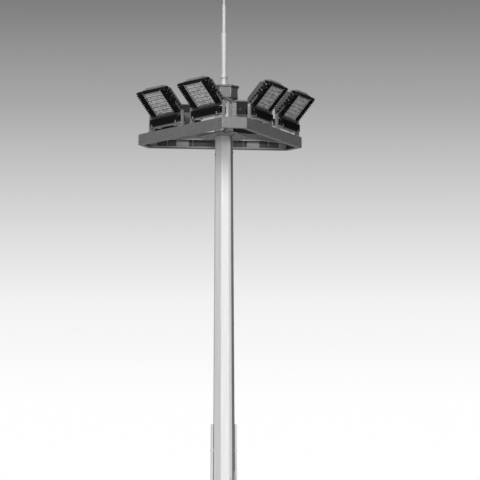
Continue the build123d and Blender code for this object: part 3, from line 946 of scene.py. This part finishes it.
for seed, name in enumerate(lamp_leans):
    axes = lamp_axes(name)
    pivot, along, slope, face = axes
    body = "lamp_" + name
    dress(lamp_coat, "lamp_body_" + name)
    dress(housing_coat, "lamp_back_" + name)

    sheet, patterns = window_sheet(axes, seed)
    board = piece("light_board_" + name, [sheet], body, light_board, smooth=True)
    for label, values in patterns.items():
        values = values.reshape(-1).astype(np.float32)
        attribute = board.data.attributes.new(label, "FLOAT", "POINT")
        attribute.data.foreach_set("value", values)
    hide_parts("lamp_window_" + name)

    fins = fin_comb(axes, -1.0) + fin_comb(axes, 1.0)
    piece("lamp_fins_" + name, fins, body, lamp_coat)

    bezel = [bezel_ring(axes), bar(axes, *pane_clip)]
    piece("window_frame_" + name, bezel, body, bright_steel)

    screws = []
    for side in sides:
        outer = side * along
        for up in edge_screws:
            place = lamp_points(axes, side * (body_half - 0.0002), up, -0.006)
            screws += bolts([place], outer, 0.0038)
        for up in face_screws:
            for across, size in ((0.1735, 0.0046), (0.262, 0.0040)):
                place = lamp_points(axes, side * across, up, plate_front - 0.0002)
                screws += bolts([place], face, size)
        screws += bolts([pivot + outer * leg_face], outer, 0.0085)
    piece("lamp_screws_" + name, screws, body, bright_steel)

    arm_span = np.array([body_half - 0.0005, body_half + 0.0035])
    arms = [slab(axes, side * arm_span, arm_up, arm_out) for side in sides]
    piece("side_arms_" + name, arms, body, housing_coat)

    lid_depth = (back_rear - 0.0035, back_rear + 0.001)
    lid = [bar(axes, (-rear_lid_half, rear_lid_half), lid_span, lid_depth, 0.0012)]
    for up in lid_ribs:
        rib_depth = (back_rear - 0.0065, back_rear - 0.003)
        lid.append(bar(axes, (-rib_half, rib_half), (up - 0.004, up + 0.004), rib_depth))
    piece("rear_lid_" + name, lid, body, rear_coat)
    flanks = []
    for side in sides:
        flanks.append(flank_rim(axes, side))
        rib = (side * (back_half - 0.001), side * (back_half + 0.0022))
        for up in flank_ribs:
            flanks.append(bar(axes, rib, (up - 0.002, up + 0.002), (-0.054, -0.0435), 0.0004))
    piece("housing_flanks_" + name, flanks, body, housing_coat)

    edge_span, edge_depth = (back_end - 0.0006, back_end + 0.0030), (-0.0290, -0.0190)
    cap = [fall_block(axes, top_cover_half, fall_up, fall_out, -0.3 * cover_rise, cover_rise)]
    cap.append(bar(axes, (-edge_half, edge_half), edge_span, edge_depth))
    for inset, low, high in cap_steps:
        share = 0.06 + 0.80 * np.array([inset, 1.0 - inset])
        span_up = fall_up[0] + (fall_up[1] - fall_up[0]) * share
        span_out = fall_out[0] + (fall_out[1] - fall_out[0]) * share
        cap.append(fall_block(axes, cap_half - inset, span_up, span_out, low, high))
    # The top cover takes the lighter coat: painted sky light on the housing's top.
    piece("housing_cap_" + name, cap, body, painted_top_light)

    fittings = []
    for across in gland_places:
        centre = lamp_points(axes, across, gland_up, back_rear - 0.003)
        spoke = np.cos(gland_turn) * along + np.sin(gland_turn) * slope
        fittings.append(loft([centre + spoke * reach - face * out for reach, out in gland_section]))
    for side in sides:
        for up in lid_screws:
            place = lamp_points(axes, side * (back_half - 0.022), up, back_rear - 0.0033)
            fittings += bolts([place], -face, 0.0042)
    piece("housing_fittings_" + name, fittings, body, small_steel)

# Yokes: two angle legs on base plates for each lamp, joined by the tray that carries the
# driver. The feet are welded and bolted through the top flange of the beam.
yoke_zinc = galvanised("yoke_zinc", 0.42, 0.12, 0.25, 0.45, 0.38)
leg_offset, foot_plate = 0.300, 0.008
tray_top = ring_top + 0.052
yoke_welds, foot_bolts = [], []
for name in lamp_leans:
    dress(yoke_zinc, "yoke_" + name)
    pivot, along = lamp_axes(name)[:2]
    outward = np.array([along[1], -along[0], 0.0])
    ground = pivot * (1.0, 1.0, 0.0)
    for side in sides:
        for reach in (0.000, 0.026):
            place = ground + along * side * (leg_offset + 0.022) + outward * reach
            foot_bolts += bolts([place + up_by(ring_top + foot_plate)], (0, 0, 1), 0.0062)
            under = place - outward * 0.010 + up_by(ring_top - 0.008)
            foot_bolts += bolts([under], (0, 0, -1), 0.0062)
        start = ground + along * side * (leg_offset - 0.0035) + up_by(ring_top + foot_plate)
        ends = (start - outward * 0.008, start + outward * 0.020)
        yoke_welds.append(bead(*ends, up_by(1.0) - along * side, 0.006, 0.003, 4))
        for reach in (-0.012, 0.012):
            place = ground + along * side * (leg_offset + 0.003) + outward * reach
            foot_bolts += bolts([place + up_by(tray_top)], side * along, 0.0045)
piece("foot_bolts", foot_bolts, "tower", small_steel)
piece("yoke_welds", yoke_welds, "tower", weld_zinc, smooth=True)

# Drivers: black cast boxes on the trays, with cooling ribs front and back, screwed end caps,
# and two clamp feet each.
driver_coat = coated("driver_coat", 0.008, 0.50, 0.16, 0.30)
driver_half, driver_deep = 0.265, 0.056
driver_low, driver_high = ring_top + 0.056, ring_top + 0.140
driver_rib_half, rib_pitch = 0.215, 0.014
clamp_across, foot_across = np.array([0.150, 0.185]), np.array([0.226, 0.244])
foot_screw, foot_front = 0.235, 0.0590
driver_feet, driver_screws = [], []
for name in lamp_leans:
    dress(driver_coat, "driver_" + name)
    pivot, along = lamp_axes(name)[:2]
    outward = np.array([along[1], -along[0], 0.0])
    level_axes = (pivot, along, up_by(1.0), outward)
    low, high = driver_low - pivot[2], driver_high - pivot[2]
    ribs = []
    for side in sides:
        for up in np.arange(low + rib_pitch, high - 0.008, rib_pitch):
            rib_span, rib_depth = (up - 0.002, up + 0.002), (side * 0.055, side * 0.062)
            ribs.append(bar(level_axes, (-driver_rib_half, driver_rib_half), rib_span, rib_depth))
        cap_span = (side * (driver_half - 0.012), side * (driver_half + 0.003))
        deep = driver_deep + 0.0025
        ribs.append(bar(level_axes, cap_span, (low - 0.0005, high + 0.0025), (-deep, deep), 0.004))
        for out in (-0.040, 0.040):
            for up in (low + 0.014, high - 0.014):
                place = lamp_points(level_axes, side * (driver_half + 0.003), up, out)
                driver_screws += bolts([place], along * side, 0.0042)
        clamp_span, clamp_depth = (low - 0.022, low - 0.0075), (-0.030, 0.030)
        driver_feet.append(bar(level_axes, side * clamp_across, clamp_span, clamp_depth, 0.002))
        upright_span, sole_span = (low - 0.0005, low + 0.022), (low - 0.0075, low + 0.0005)
        for span, rear in ((upright_span, 0.0550), (sole_span, 0.0300)):
            driver_feet.append(bar(level_axes, side * foot_across, span, (rear, foot_front)))
        place = lamp_points(level_axes, side * foot_screw, low + 0.013, foot_front - 0.0002)
        driver_screws += bolts([place], outward, 0.0042)
    piece("driver_ribs_" + name, ribs, "tower", driver_coat)
piece("driver_screws", driver_screws, "tower", small_steel)
piece("driver_feet", driver_feet, "tower", bright_steel)

# Stage: a pale floor under the mast, a plain sky that pales towards the horizon, soft light
# from the front left, and two cards beside the head that darken what its sides mirror. The
# camera doesn't see the cards, and they cast no shadow.
floor_material, floor_tree, floor_finish = start_material("floor")
floor_noise = add(floor_tree, "ShaderNodeTexNoise", {"Scale": 0.8, "Detail": 3.0}).outputs["Fac"]
floor_tone = mix_colours(floor_tree, floor_noise, grey_of(0.74), grey_of(0.80))
floor_ray = add(floor_tree, "ShaderNodeLightPath").outputs["Is Camera Ray"]
floor_shown = mix_colours(floor_tree, floor_ray, floor_tone, grey_of(0.97))
floor_tree.links.new(floor_shown, floor_finish["Base Color"])
floor_finish["Roughness"].default_value = 0.9
floor_half = 300.0
floor_signs = ((-1, -1), (1, -1), (1, 1), (-1, 1))
floor_corners = [(x * floor_half, y * floor_half, 0) for x, y in floor_signs]
mesh_object("floor", floor_corners, [(0, 1, 2, 3)], floor_material)


def card(name, middle, facing, half_width, half_height, shade):
    """Upright matt card, turned towards a direction, that only soft light and mirrors meet."""
    material = start_material(name)[0]
    finish = material.node_tree.nodes["Principled BSDF"].inputs
    finish["Base Color"].default_value = grey_of(shade)
    finish["Roughness"].default_value = 1.0
    across = np.cross((0, 0, 1), unit(facing)) * half_width
    up = up_by(half_height)
    corners = np.array([-across - up, across - up, across + up, up - across]) + middle
    made = mesh_object(name, corners.tolist(), [(0, 1, 2, 3)], material)
    made.visible_camera = False
    made.visible_shadow = False


card("card_right", (5.5, 3.0, 13.8), (-1.0, -0.1, 0.0), 4.0, 4.0, 0.02)
card("card_left", (-6.0, 3.5, 13.8), (1.0, -0.4, 0.0), 4.5, 4.0, 0.20)

world = bpy.data.worlds.new("sky")
bpy.context.scene.world = world
world.use_nodes = True
sky = world.node_tree
sky.nodes.clear()
heading = add(sky, "ShaderNodeTexCoord").outputs["Generated"]
ray_rise = add(sky, "ShaderNodeSeparateXYZ", {"Vector": heading}).outputs["Z"]
sky_span = {"Value": ray_rise, "From Min": 0.100, "From Max": 0.176}
gradient = add(sky, "ShaderNodeMapRange", sky_span).outputs["Result"]
sky_stops = ((0.0, 1.0), (0.176, 0.996), (0.380, 0.885), (0.584, 0.633), (0.787, 0.385))
sky_grey = grey_ramp(sky, gradient, *sky_stops, (0.950, 0.238), (1.0, 0.20))
seen = add(sky, "ShaderNodeBackground", {"Color": sky_grey, "Strength": 1.0}).outputs[0]
ambient = add(sky, "ShaderNodeBackground", {"Color": grey_of(0.36), "Strength": 1.0}).outputs[0]
ray = add(sky, "ShaderNodeLightPath").outputs
direct = calculate(sky, "MAXIMUM", ray["Is Camera Ray"], ray["Is Glossy Ray"])
shown = calculate(sky, "MAXIMUM", direct, ray["Is Transmission Ray"])
mixed = add(sky, "ShaderNodeMixShader", {"Fac": shown, 1: ambient, 2: seen}).outputs[0]
add(sky, "ShaderNodeOutputWorld", {"Surface": mixed})


def point_along(made, heading):
    """Turns a lamp or a camera so that it looks along a heading."""
    made.rotation_euler = Vector(heading).to_track_quat("-Z", "Y").to_euler()


def sun(name, heading, strength, spread):
    """Soft sun that shines along a heading; its spread in degrees softens the shadows."""
    data = bpy.data.lights.new(name, "SUN")
    data.energy = strength
    data.angle = np.radians(spread)
    made = bpy.data.objects.new(name, data)
    bpy.context.scene.collection.objects.link(made)
    point_along(made, heading)


sun("key_light", (0.10, 0.95, -0.42), 1.50, 30.0)
sun("side_light", (0.85, 0.45, -0.30), 0.38, 40.0)

# Camera: far off and low, as in the photograph, a little to the left of the front corner. The
# head stands above and left of the picture's middle.
head = up_by(14.3)
camera_distance, camera_yaw, camera_rise = 75.0, np.radians(6.6), np.radians(8.9)
metres_per_pixel, picture_pixels = 0.01174, 480.0
head_right, head_down = 224.0, 133.2
level_heading = np.array([np.sin(camera_yaw), np.cos(camera_yaw), 0.0])
camera_heading = level_heading * np.cos(camera_rise) + up_by(np.sin(camera_rise))
camera_place = head - camera_heading * camera_distance
right = np.array([np.cos(camera_yaw), -np.sin(camera_yaw), 0.0])
aim = head + right * (picture_pixels / 2.0 - head_right) * metres_per_pixel
aim -= up_by((picture_pixels / 2.0 - head_down) * metres_per_pixel / np.cos(camera_rise))
camera_data = bpy.data.cameras.new("camera")
camera_data.sensor_width = 36.0
picture_width = picture_pixels * metres_per_pixel
camera_data.lens = camera_data.sensor_width * camera_distance / picture_width
camera_data.clip_end = 1000.0
camera = bpy.data.objects.new("camera", camera_data)
bpy.context.scene.collection.objects.link(camera)
camera.location = Vector(camera_place)
point_along(camera, aim - camera_place)
bpy.context.scene.camera = camera
bpy.context.scene.view_settings.view_transform = "Standard"
